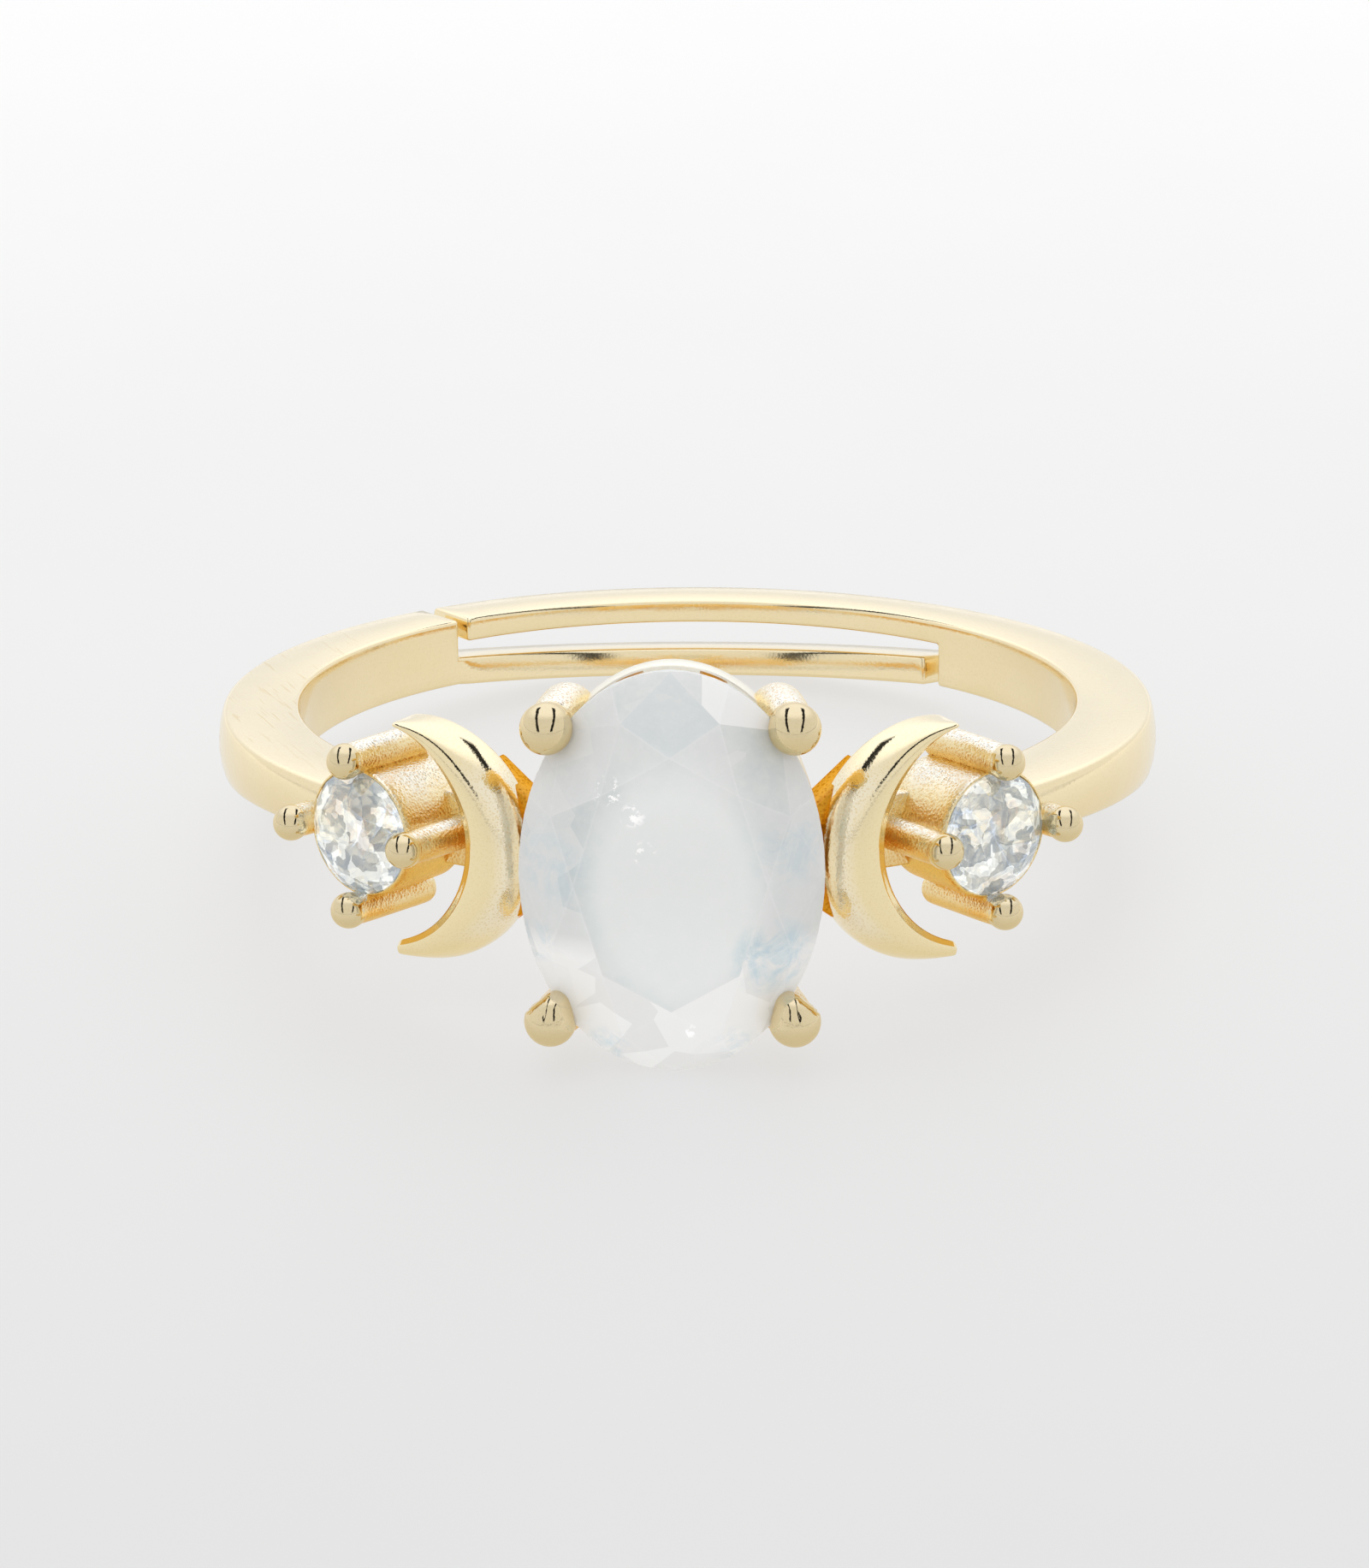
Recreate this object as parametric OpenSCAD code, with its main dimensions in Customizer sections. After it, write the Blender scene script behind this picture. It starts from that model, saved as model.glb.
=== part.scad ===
// Adjustable moonstone ring, lying on its side with the head raised.
// It is drawn in its own frame first: finger axis along Z, head towards -Y, X to the right.
// The last step tips it back on its two points of rest and sets it on the ground.

/* [Shank] */
// Diameter of the finger hole
finger_d = 16.5; // [14.5:0.1:19]
// Width of the band along the finger
band_w = 1.5; // [1.2:0.1:2.2]
// Thickness of the band at its two sides, over the dome
band_t = 1.68; // [1.3:0.02:2.2]
// Shift of the outer circle towards the head, which thins the back
band_shift = 0.2; // [0:0.05:0.4]
// Height of the dome on the outer face of the band
band_dome = 0.12; // [0.05:0.01:0.2]
// Slope of the band's lower face, which narrows the two arms towards the head
band_taper = 4.2; // [0:0.2:5]

/* [Lap at the back] */
// Angle from the back to the slit beside the left arm
lap_left = 40.4; // [30:0.2:50]
// Angle from the back to the step of the right arm
lap_right = 41.3; // [30:0.2:50]
// Height of the upper tongue, which belongs to the right arm
upper_tongue_h = 0.53; // [0.4:0.01:0.6]
// Height of the lower tongue, which belongs to the left arm
lower_tongue_h = 0.66; // [0.4:0.01:0.7]
// Droop of the lower tongue, in degrees
tongue_droop = 8; // [0:0.5:9]
// Slit between the left arm and the end of the upper tongue
slit_w = 0.24; // [0.15:0.01:0.6]
// Slit between the right arm and the end of the lower tongue
step_slit_w = 0.36; // [0.15:0.01:0.8]

/* [Moonstone] */
// Width of the oval stone
moon_w = 5.88; // [5:0.05:6.5]
// Height of the oval stone, along the finger
moon_h = 8; // [7:0.05:8.5]
// Distance from the finger axis to the girdle of the moonstone
moon_seat = 10.6; // [10.2:0.1:12]
// Height of the crown over the girdle
moon_crown = 0.85; // [0.6:0.05:1.1]
// Depth of the pavilion under the girdle
moon_pavilion = 1.6; // [1.2:0.05:1.7]

/* [Basket] */
// Radius of the prongs and of their ball ends
prong_r = 0.52; // [0.4:0.01:0.6]
// Distance from the girdle back to the front of the gallery rail
rail_drop = 0.8; // [0.7:0.05:1.1]
// Thickness of the gallery rail, front to back
rail_t = 0.5; // [0.4:0.05:0.7]
// Width of the gallery rail, seen from the front
rail_w = 0.5; // [0.4:0.05:0.6]

/* [Side stones] */
// Diameter of the two round stones
side_d = 2.46; // [2:0.05:2.8]
// Angle from the head to each round stone
side_angle = 38.2; // [36:0.2:42]
// Distance from the finger axis to the girdle of the round stones
side_seat = 10.1; // [9.9:0.05:10.4]
// Radius of the four small prongs and of their ball ends
bead_r = 0.37; // [0.3:0.01:0.42]

/* [Crescents] */
// Angle from the head to each crescent
moon_angle = 27; // [26:0.2:28]
// Distance from the finger axis to the face of a crescent
crescent_seat = 9.95; // [9.7:0.05:10.2]
// Radius of the convex edge
crescent_r = 2.45; // [2.3:0.01:2.6]
// Radius of the concave edge
hollow_r = 2.28; // [2.2:0.01:2.5]
// Drop of the convex edge below the middle of the band
crescent_drop = 0.15; // [0:0.01:0.18]
// Width of a crescent at its middle
crescent_w = 1.2; // [0.9:0.05:1.3]
// Thickness of a crescent
crescent_t = 1.0; // [0.8:0.05:1.1]

/* [Hidden] */
$fn = 96;

gold = [0.93, 0.79, 0.46];
clearance = 0.04;                 // between each stone and the metal that holds it
eps = 0.01;

// Band
finger_r = finger_d / 2;
band_r = finger_r + band_t;       // outer radius, over the dome
rim_r = (band_w * band_w / 4 + band_dome * band_dome) / (2 * band_dome);
strip_r = 8.9;                    // outer radius of the thin strip under the head
strip_angle = 38.6;               // the strip runs this far to each side of the head

// Lap
tongue_pivot_y = 6.3;
tongue_pivot_z = -0.45;
lower_tongue_top = -0.12;
lap_cut_r = band_r + 1;

// Girdle, and the seat that is cut for each stone
moon_girdle = 0.16;
side_girdle = 0.08;
side_crown = 0.4;
side_pavilion = 1.05;
moon_table = 0.63;                // table width as a share of the girdle
side_table = 0.56;

// Basket, in the frame of the moonstone's girdle: x right, y up, z out of the head
rail_x = moon_w / 2 - 0.1;
rail_y = moon_h / 2 - 0.1;
ball_at = [2.36, 2.92, 0.25];
bend_at = [2.02, 3.02, -1.2];
foot_at = [0.85, 0.4, -1.95];
arm_r = 0.42;

// Side mounts, in the frame of the stone's girdle
cup_r = 1.36;
bead_offset = 1.53;
bead_lift = 0.38;
cup_foot = finger_r - side_seat;  // the mounts reach down to the finger hole

// Crescents, in the frame of their face: x away from the head, y up, z out
crescent_x = crescent_r - 1.6;
hollow_x = crescent_x - crescent_r + crescent_w + hollow_r;
tip_x = 1.24;
crescent_roll = 0.42;             // rounding of the convex edge
face_dome = 0.1;
bevel = 0.1;
web_near = [-2.3, 0.22];          // half height of the web at the basket
web_far = [-0.45, 1.83];          // half height of the web under the crescent
web_face = -0.45;
web_back = -1.35;

// Points of rest: the back lower edge of the gallery rail, and the lower tongue's outer edge
back_y = band_r - band_shift - band_dome;
back_z = lower_tongue_top - lower_tongue_h;
low_y = tongue_pivot_y + (back_y - tongue_pivot_y) * cos(tongue_droop)
      + (back_z - tongue_pivot_z) * sin(tongue_droop);
low_z = tongue_pivot_z - (back_y - tongue_pivot_y) * sin(tongue_droop)
      + (back_z - tongue_pivot_z) * cos(tongue_droop);
rail_back = moon_seat - rail_drop - rail_t;
rest_tilt = atan((rail_y + low_z) / (rail_back + low_y));
floor_z = rail_back * sin(rest_tilt) - rail_y * cos(rest_tilt);
table_y = moon_seat + moon_girdle / 2 + moon_crown;
front_y = -table_y * cos(rest_tilt) - moon_table * moon_h / 2 * sin(rest_tilt);
rear_y = (band_r - band_shift - rim_r) * cos(rest_tilt) + rim_r;

module rest() {
    translate([0, -(front_y + rear_y) / 2, -floor_z])
        rotate([-rest_tilt, 0, 0])
            children();
}

// Places a child on the ring at an angle from the head, with its z axis pointing outwards
module on_ring(angle, radius) {
    rotate([0, 0, angle])
        translate([0, -radius, 0])
            rotate([90, 0, 0])
                children();
}

module both_sides() {
    for (side = [0, 1])
        mirror([side, 0, 0])
            children();
}

// A round bar from one point to another
module bar(a, b, r) {
    d = b - a;
    translate(a)
        rotate([0, acos(d[2] / norm(d)), atan2(d[1], d[0])])
            cylinder(r = r, h = norm(d));
}

// A sector of the ring, between two angles counted from the back, left side negative
module back_sector(from, to, r_in, r_out, z0, z1) {
    rotate([0, 0, 90 - to])
        rotate_extrude(angle = to - from)
            translate([r_in, z0])
                square([r_out - r_in, z1 - z0]);
}

// A sector of the ring under the head, with the same angle to each side
module head_sector(reach, r_in, r_out, h) {
    rotate([0, 0, -90 - reach])
        rotate_extrude(angle = 2 * reach)
            translate([r_in, -h / 2])
                square([r_out - r_in, h]);
}

// The solid outside of the band, with a domed rim
module band_blank() {
    translate([0, -band_shift, 0])
        rotate_extrude()
            intersection() {
                translate([0, -band_w / 2])
                    square([band_r, band_w]);
                union() {
                    translate([0, -band_w / 2])
                        square([band_r - band_dome - eps, band_w]);
                    translate([band_r - rim_r, 0])
                        circle(r = rim_r);
                }
            }
}

module lower_tongue_blank() {
    intersection() {
        translate([0, -band_shift, 0])
            cylinder(r = band_r - band_dome, h = 3 * band_w, center = true);
        back_sector(-lap_left - 3, lap_right - step_slit_w / finger_r * 180 / PI,
                    finger_r - 1, band_r + 1, back_z, lower_tongue_top);
    }
}

module finger_hole() {
    cylinder(r = finger_r, h = 5 * band_w, center = true);
}

module shank() {
    slit_deg = slit_w / finger_r * 180 / PI;
    difference() {
        union() {
            difference() {
                band_blank();
                // Room for the head and its thin strip
                head_sector(strip_angle, finger_r - 1, band_r + 1, 2 * band_w);
                // Slope of the lower face, from the widest point of the ring to the head
                translate([0, 0, -band_w / 2])
                    rotate([-band_taper, 0, 0])
                        translate([-band_r - 1, -band_r - 1, -band_w])
                            cube([2 * band_r + 2, band_r + 1, band_w]);
                // Room for the lower tongue, and the gap between the tongues
                back_sector(-lap_left, lap_right, finger_r - 1, lap_cut_r,
                            -band_w, band_w / 2 - upper_tongue_h);
                // Slit at the end of the upper tongue
                back_sector(-lap_left - eps, -lap_left + slit_deg, finger_r - 1, lap_cut_r,
                            -band_w, band_w);
            }
            head_sector(strip_angle + 2, finger_r - 1, strip_r, band_w);
            translate([0, tongue_pivot_y, tongue_pivot_z])
                rotate([-tongue_droop, 0, 0])
                    translate([0, -tongue_pivot_y, -tongue_pivot_z])
                        difference() {
                            lower_tongue_blank();
                            finger_hole();
                        }
        }
        finger_hole();
    }
}

// Four prongs on bent arms, and the gallery rail that ties them
module basket() {
    for (sx = [-1, 1], sy = [-1, 1]) {
        s = [sx, sy, 1];
        ball = [for (i = [0:2]) ball_at[i] * s[i]];
        bend = [for (i = [0:2]) bend_at[i] * s[i]];
        foot = [for (i = [0:2]) foot_at[i] * s[i]];
        bar(bend, ball, prong_r * 0.94);
        translate(ball) sphere(r = prong_r);
        translate(bend) sphere(r = prong_r);
        bar(foot, bend, arm_r);
    }
    translate([0, 0, -rail_drop - rail_t])
        difference() {
            scale([rail_x / rail_y, 1, 1])
                cylinder(r = rail_y, h = rail_t);
            translate([0, 0, -1])
                scale([(rail_x - rail_w) / (rail_y - rail_w), 1, 1])
                    cylinder(r = rail_y - rail_w, h = rail_t + 2);
        }
}

// Solid cup with four straight prongs, from the finger hole up to the girdle
module side_mount() {
    translate([0, 0, cup_foot])
        cylinder(r = cup_r, h = -cup_foot - 0.12);
    for (a = [0:90:270])
        rotate([0, 0, a])
            translate([bead_offset, 0, 0]) {
                translate([0, 0, cup_foot - 0.3])
                    cylinder(r = bead_r * 0.95, h = bead_lift - cup_foot + 0.3);
                translate([0, 0, bead_lift])
                    sphere(r = bead_r);
            }
}

// The circle that is cut out of a crescent
module hollow() {
    translate([hollow_x, crescent_drop, -crescent_t - 1])
        cylinder(r = hollow_r, h = crescent_t + 2);
}

// A disc with a rolled edge and a crowned face, hollowed by a second circle
module crescent() {
    flat_r = crescent_r - crescent_roll;
    crown_r = (flat_r * flat_r + face_dome * face_dome) / (2 * face_dome);
    difference() {
        translate([crescent_x, 0, -crescent_t])
            rotate_extrude()
                union() {
                    square([crescent_r, crescent_t - crescent_roll - face_dome]);
                    square([flat_r, crescent_t - face_dome]);
                    translate([flat_r, crescent_t - crescent_roll - face_dome])
                        intersection() {
                            circle(r = crescent_roll);
                            square(crescent_r);
                        }
                    intersection() {
                        translate([0, crescent_t - crown_r])
                            circle(r = crown_r, $fn = 360);
                        translate([0, crescent_t - face_dome - eps])
                            square([flat_r, 2 * face_dome]);
                    }
                }
        hollow();
        translate([hollow_x, crescent_drop, -bevel])
            cylinder(r1 = hollow_r - eps, r2 = hollow_r + 2 * bevel, h = 2 * bevel);
        translate([tip_x, -crescent_r, -crescent_t - 1])
            cube([2, 2 * crescent_r, crescent_t + 2]);
    }
}

// Web that widens from the basket to the back of a crescent
module web() {
    difference() {
        translate([0, 0, web_back])
            linear_extrude(web_face - web_back)
                polygon([
                    [web_near[0], -web_near[1]], [web_far[0], -web_far[1]],
                    [web_far[0] + 0.5, -web_far[1]], [web_far[0] + 0.5, web_far[1]],
                    [web_far[0], web_far[1]], [web_near[0], web_near[1]]
                ]);
        hollow();
    }
}

// Room for a stone: its own outline turned about its axis, and a little more
module stone_seat(w, h, table, crown, girdle, pavilion) {
    r = h / 2 + clearance;
    scale([w / h, 1, 1])
        rotate_extrude()
            polygon([
                [0, -girdle / 2 - pavilion - clearance],
                [r, -girdle / 2],
                [r, girdle / 2],
                [table * r + clearance, girdle / 2 + crown + clearance],
                [0, girdle / 2 + crown + clearance]
            ]);
}

module ring_mount() {
    color(gold)
        rest()
            difference() {
                union() {
                    shank();
                    on_ring(0, moon_seat) basket();
                    both_sides() {
                        on_ring(side_angle, side_seat) side_mount();
                        on_ring(moon_angle, crescent_seat)
                            translate([0, -crescent_drop, 0]) {
                                crescent();
                                web();
                            }
                    }
                }
                finger_hole();
                on_ring(0, moon_seat)
                    stone_seat(moon_w, moon_h, moon_table, moon_crown, moon_girdle, moon_pavilion);
                both_sides()
                    on_ring(side_angle, side_seat)
                        stone_seat(side_d, side_d, side_table, side_crown, side_girdle, side_pavilion);
            }
}

// Brilliant cut on a circle of radius 1, widened to an oval by the last two arguments.
// Eight mains, eight stars and sixteen halves above, eight mains and sixteen halves below.
// Each main is flat because its side corners lie on the line from table or culet to girdle.
module brilliant(rx, ry, table, star, crown, girdle, lower, pavilion) {
    steps = 4;                                       // points on the girdle for each half facet
    n = 16 * steps;
    star_z = crown * (1 - (star * cos(22.5) - table) / (1 - table));
    lower_z = pavilion * (1 - lower * cos(22.5));
    half_z = [star_z, lower_z];
    half_r = [star, lower];
    function spot(r, a, z) = [r * sin(a) * rx, r * cos(a) * ry, z];
    // Fall of a half facet below its chord, at a girdle point between two corners
    function fall(i, side) =
        let (a = (i % steps) * 22.5 / steps,
             beyond = cos(a - 11.25) - cos(11.25),
             run = cos(11.25) - half_r[side] * cos(11.25))
        beyond / run * half_z[side];
    top_ring = [for (i = [0:n - 1]) spot(1, i * 360 / n, girdle / 2 - fall(i, 0))];
    low_ring = [for (i = [0:n - 1]) spot(1, i * 360 / n, -girdle / 2 + fall(i, 1))];
    table_ring = [for (i = [0:7]) spot(table, i * 45, girdle / 2 + crown)];
    star_ring = [for (i = [0:7]) spot(star, i * 45 + 22.5, girdle / 2 + star_z)];
    deep_ring = [for (i = [0:7]) spot(lower, i * 45 + 22.5, -girdle / 2 - lower_z)];
    points = concat(top_ring, low_ring, table_ring, star_ring, deep_ring,
                    [[0, 0, -girdle / 2 - pavilion]]);
    t = 2 * n;
    s = t + 8;
    l = s + 8;
    culet = l + 8;
    half = steps;
    main = 2 * steps;
    faces = concat(
        [[for (i = [0:7]) t + i]],
        [for (i = [0:7]) [t + i, s + i, t + (i + 1) % 8]],
        [for (i = [0:7]) [t + i, s + (i + 7) % 8, i * main, s + i]],
        [for (i = [0:7]) concat([s + i], [for (k = [0:half]) i * main + k])],
        [for (i = [0:7]) concat([s + i], [for (k = [half:main]) (i * main + k) % n])],
        [for (i = [0:n - 1]) [i, n + i, n + (i + 1) % n, (i + 1) % n]],
        [for (i = [0:7]) concat([l + i], [for (k = [half:-1:0]) n + i * main + k])],
        [for (i = [0:7]) concat([l + i], [for (k = [main:-1:half]) n + (i * main + k) % n])],
        [for (i = [0:7]) [culet, l + i, n + i * main, l + (i + 7) % 8]]
    );
    polyhedron(points = points, faces = faces, convexity = 4);
}

module moonstone() {
    color([0.84, 0.9, 0.93])
        rest()
            on_ring(0, moon_seat)
                brilliant(moon_w / 2, moon_h / 2, moon_table, 0.84, moon_crown,
                          moon_girdle, 0.4, moon_pavilion);
}

module side_stone(side) {
    color([0.92, 0.95, 0.99])
        rest()
            on_ring(side * side_angle, side_seat)
                brilliant(side_d / 2, side_d / 2, side_table, 0.78, side_crown,
                          side_girdle, 0.25, side_pavilion);
}

ring_mount();
moonstone();
side_stone(-1);  // side_stone_left
side_stone(1);  // side_stone_right
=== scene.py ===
import math

import bmesh
import bpy
from mathutils import Matrix, Vector


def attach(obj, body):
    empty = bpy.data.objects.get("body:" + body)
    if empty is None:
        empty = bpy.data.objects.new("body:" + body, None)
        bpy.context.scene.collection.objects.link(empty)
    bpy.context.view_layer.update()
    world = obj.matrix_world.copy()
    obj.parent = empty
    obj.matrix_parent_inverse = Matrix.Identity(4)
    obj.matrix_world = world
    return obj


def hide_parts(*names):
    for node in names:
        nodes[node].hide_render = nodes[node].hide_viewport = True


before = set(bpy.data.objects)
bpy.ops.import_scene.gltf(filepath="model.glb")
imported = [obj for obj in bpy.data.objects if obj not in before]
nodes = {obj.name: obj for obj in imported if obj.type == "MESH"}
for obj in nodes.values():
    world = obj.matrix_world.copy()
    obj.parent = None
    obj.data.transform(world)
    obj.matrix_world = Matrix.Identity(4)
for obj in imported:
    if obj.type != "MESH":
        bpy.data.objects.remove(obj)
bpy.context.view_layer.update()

# Every gold piece is drawn in millimetres in the ring's own frame: finger axis along Z, head towards -Y.
# It is then laid down on its two points of rest, in metres.
rest = {"tip": -8.0474, "slide": (0, 1.0557, 2.5597)}
ringToTable = (Matrix.Scale(0.001, 4) @ Matrix.Translation(rest["slide"])
               @ Matrix.Rotation(math.radians(rest["tip"]), 4, "X"))


def onRing(angle, radius):
    # x away from the head, y along the finger, z out of the ring
    return (Matrix.Rotation(math.radians(angle), 4, "Z") @ Matrix.Translation((0, -radius, 0))
            @ Matrix.Rotation(math.radians(90), 4, "X"))


def selectOnly(piece):
    bpy.ops.object.select_all(action="DESELECT")
    piece.select_set(True)
    bpy.context.view_layer.objects.active = piece


def namePiece(name):
    piece = bpy.context.object
    piece.name = name
    piece.data.name = name
    return piece


def pickVerts(piece, test):
    bpy.ops.mesh.select_mode(type="VERT")
    bpy.ops.mesh.select_all(action="DESELECT")
    mesh = bmesh.from_edit_mesh(piece.data)
    for vert in mesh.verts:
        vert.select = test(vert.co)
    mesh.select_flush(True)
    bmesh.update_edit_mesh(piece.data)


def pickFaces(piece, test):
    bpy.ops.mesh.select_mode(type="FACE")
    bpy.ops.mesh.select_all(action="DESELECT")
    mesh = bmesh.from_edit_mesh(piece.data)
    for face in mesh.faces:
        face.select = test(face.calc_center_median(), face.normal)
    mesh.select_flush_mode()
    bmesh.update_edit_mesh(piece.data)


# points closer than this are one
mergeWithin = 0.0005


def faceOutwards(piece):
    selectOnly(piece)
    bpy.ops.object.mode_set(mode="EDIT")
    bpy.ops.mesh.select_all(action="SELECT")
    bpy.ops.mesh.remove_doubles(threshold=mergeWithin)
    bpy.ops.mesh.normals_make_consistent(inside=False)
    bpy.ops.object.mode_set(mode="OBJECT")


def addModifier(piece, kind, **settings):
    selectOnly(piece)
    modifier = piece.modifiers.new(kind.title(), kind)
    for name, value in settings.items():
        setattr(modifier, name, value)
    bpy.ops.object.modifier_apply(modifier=modifier.name)


def roundEdges(piece, width, segments=3, angle=40):
    addModifier(piece, "BEVEL", width=width, segments=segments, limit_method="ANGLE",
                angle_limit=math.radians(angle), use_clamp_overlap=True)


def smoothOver(piece, levels):
    addModifier(piece, "SUBSURF", levels=levels, render_levels=levels)


def setOnRing(piece, place, metal, mirrored=False, smoothAngle=50):
    side = Matrix.Scale(-1, 4, (1, 0, 0)) if mirrored else Matrix.Identity(4)
    piece.matrix_world = ringToTable @ side @ place
    selectOnly(piece)
    bpy.ops.object.transform_apply(location=True, rotation=True, scale=True)
    bpy.ops.object.mode_set(mode="EDIT")
    bpy.ops.mesh.select_all(action="SELECT")
    bpy.ops.mesh.normals_make_consistent(inside=False)
    bpy.ops.object.mode_set(mode="OBJECT")
    bpy.ops.object.shade_smooth_by_angle(angle=math.radians(smoothAngle))
    piece.data.materials.append(metal)
    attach(piece, "root")
    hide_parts("ring_mount")


def markCast(piece, share):
    # how much of the sandy cast skin is left at each vertex, 0 where the metal was polished
    layer = piece.data.attributes.new("cast", "FLOAT", "POINT")
    for vert, entry in zip(piece.data.vertices, layer.data):
        entry.value = share(vert.co)


def ease(value, start, end):
    step = min(1, max(0, (value - start) / (end - start)))
    return step * step * (3 - 2 * step)


def copyOf(piece, name):
    twin = piece.copy()
    twin.data = piece.data.copy()
    twin.name = name
    twin.data.name = name
    bpy.context.collection.objects.link(twin)
    return twin


# Nodes shared by the materials
def addNode(tree, kind, inputs=None, **settings):
    node = tree.nodes.new(kind)
    for name, value in settings.items():
        setattr(node, name, value)
    for name, value in (inputs or {}).items():
        if isinstance(value, bpy.types.NodeSocket):
            tree.links.new(value, node.inputs[name])
        else:
            node.inputs[name].default_value = value
    return node


def blend(tree, share, first, second):
    return addNode(tree, "ShaderNodeMix", {0: share, 6: first, 7: second}, data_type="RGBA").outputs[2]


def calc(tree, first, second, operation="MULTIPLY", third=0.0):
    return addNode(tree, "ShaderNodeMath", {0: first, 1: second, 2: third}, operation=operation).outputs[0]


def remap(tree, value, fromMin, fromMax, toMin=0.0, toMax=1.0, smooth=False):
    limits = {"From Min": fromMin, "From Max": fromMax, "To Min": toMin, "To Max": toMax}
    return addNode(tree, "ShaderNodeMapRange", {"Value": value, **limits},
                   interpolation_type="SMOOTHSTEP" if smooth else "LINEAR").outputs[0]


def noise(tree, vector, scale, detail, roughness=0.5, distortion=0.0):
    return addNode(tree, "ShaderNodeTexNoise",
                   {"Vector": vector, "Scale": scale, "Detail": detail, "Roughness": roughness,
                    "Distortion": distortion}).outputs["Fac"]


def cells(tree, vector, scale, output, **settings):
    cell = addNode(tree, "ShaderNodeTexVoronoi", {"Vector": vector, "Scale": scale}, **settings)
    return cell.outputs[output]


def parts(tree, vector):
    return addNode(tree, "ShaderNodeSeparateXYZ", {0: vector}).outputs


def vectorCalc(tree, first, second, operation):
    return addNode(tree, "ShaderNodeVectorMath", {0: first, 1: second}, operation=operation).outputs


def likeness(tree, vector, way):
    # 1 where both point the same way
    return vectorCalc(tree, vector, way, "DOT_PRODUCT")["Value"]


def startGroup(name, inputs, outputs):
    group = bpy.data.node_groups.new(name, "ShaderNodeTree")
    for label, kind, value in inputs:
        socket = group.interface.new_socket(label, in_out="INPUT", socket_type="NodeSocket" + kind)
        socket.default_value = value
    for label, kind in outputs:
        group.interface.new_socket(label, in_out="OUTPUT", socket_type="NodeSocket" + kind)
    return group, group.nodes.new("NodeGroupInput"), group.nodes.new("NodeGroupOutput")


def castGrainGroup():
    # The fine sandy skin of cast metal that was only tumbled
    group, given, out = startGroup(
        "castGrain",
        [("Grain Size", "Float", 9000.0), ("Rough Low", "Float", 0.3), ("Rough High", "Float", 0.45)],
        [("Height", "Float"), ("Roughness", "Float"), ("Pits", "Float")])
    place = addNode(group, "ShaderNodeTexCoord").outputs["Object"]
    size = given.outputs["Grain Size"]
    fine = noise(group, place, size, 3.0, 0.6)
    height = calc(group, fine, cells(group, place, size, "Distance"), "ADD")
    patch = noise(group, place, 1400.0, 2.0)
    spread = remap(group, patch, 0.35, 0.65, given.outputs["Rough Low"], given.outputs["Rough High"])
    group.links.new(height, out.inputs["Height"])
    group.links.new(spread, out.inputs["Roughness"])
    group.links.new(remap(group, height, 0.6, 1.0, 1.0, 0.0), out.inputs["Pits"])
    return group


def goldToneAndShadeGroup():
    # Plating colour, a little uneven at random, with painted shade where it faces down and painted light
    # where it looks up
    group, given, out = startGroup(
        "goldToneAndShade",
        [("Face", "Color", (0.95, 0.8, 0.5, 1)), ("Shadowed", "Color", (0.9, 0.6, 0.25, 1)),
         ("Toplit", "Color", (1, 0.9, 0.7, 1))],
        [("Color", "Color")])
    place = addNode(group, "ShaderNodeTexCoord").outputs
    cloud = noise(group, place["Object"], 700.0, 3.0)
    uneven = calc(group, cloud, 0.5, "MULTIPLY_ADD", parts(group, place["Normal"])["Z"])
    below = remap(group, uneven, -0.2, 0.65, 1.0, 0.0, True)
    warm = blend(group, below, given.outputs["Face"], given.outputs["Shadowed"])
    above = remap(group, uneven, 0.75, 1.2, smooth=True)
    group.links.new(blend(group, above, warm, given.outputs["Toplit"]), out.inputs["Color"])
    return group


def facetReflectionGroup():
    # Painted reflection: each facet sends back its own share of light, a noise that is read at the facet's
    # normal
    group, given, out = startGroup(
        "facetReflection", [("Spread", "Float", 2.5), ("Low", "Float", 0.0), ("High", "Float", 1.0)],
        [("Share", "Float")])
    normal = addNode(group, "ShaderNodeTexCoord").outputs["Normal"]
    pick = noise(group, normal, given.outputs["Spread"], 0.0)
    share = remap(group, pick, 0.38, 0.62, given.outputs["Low"], given.outputs["High"])
    group.links.new(share, out.inputs["Share"])
    return group


castGrain = castGrainGroup()
goldToneAndShade = goldToneAndShadeGroup()
facetReflection = facetReflectionGroup()


def startMaterial(name):
    material = bpy.data.materials.new(name)
    material.use_nodes = True
    tree = material.node_tree
    return material, tree, tree.nodes["Principled BSDF"]


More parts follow.
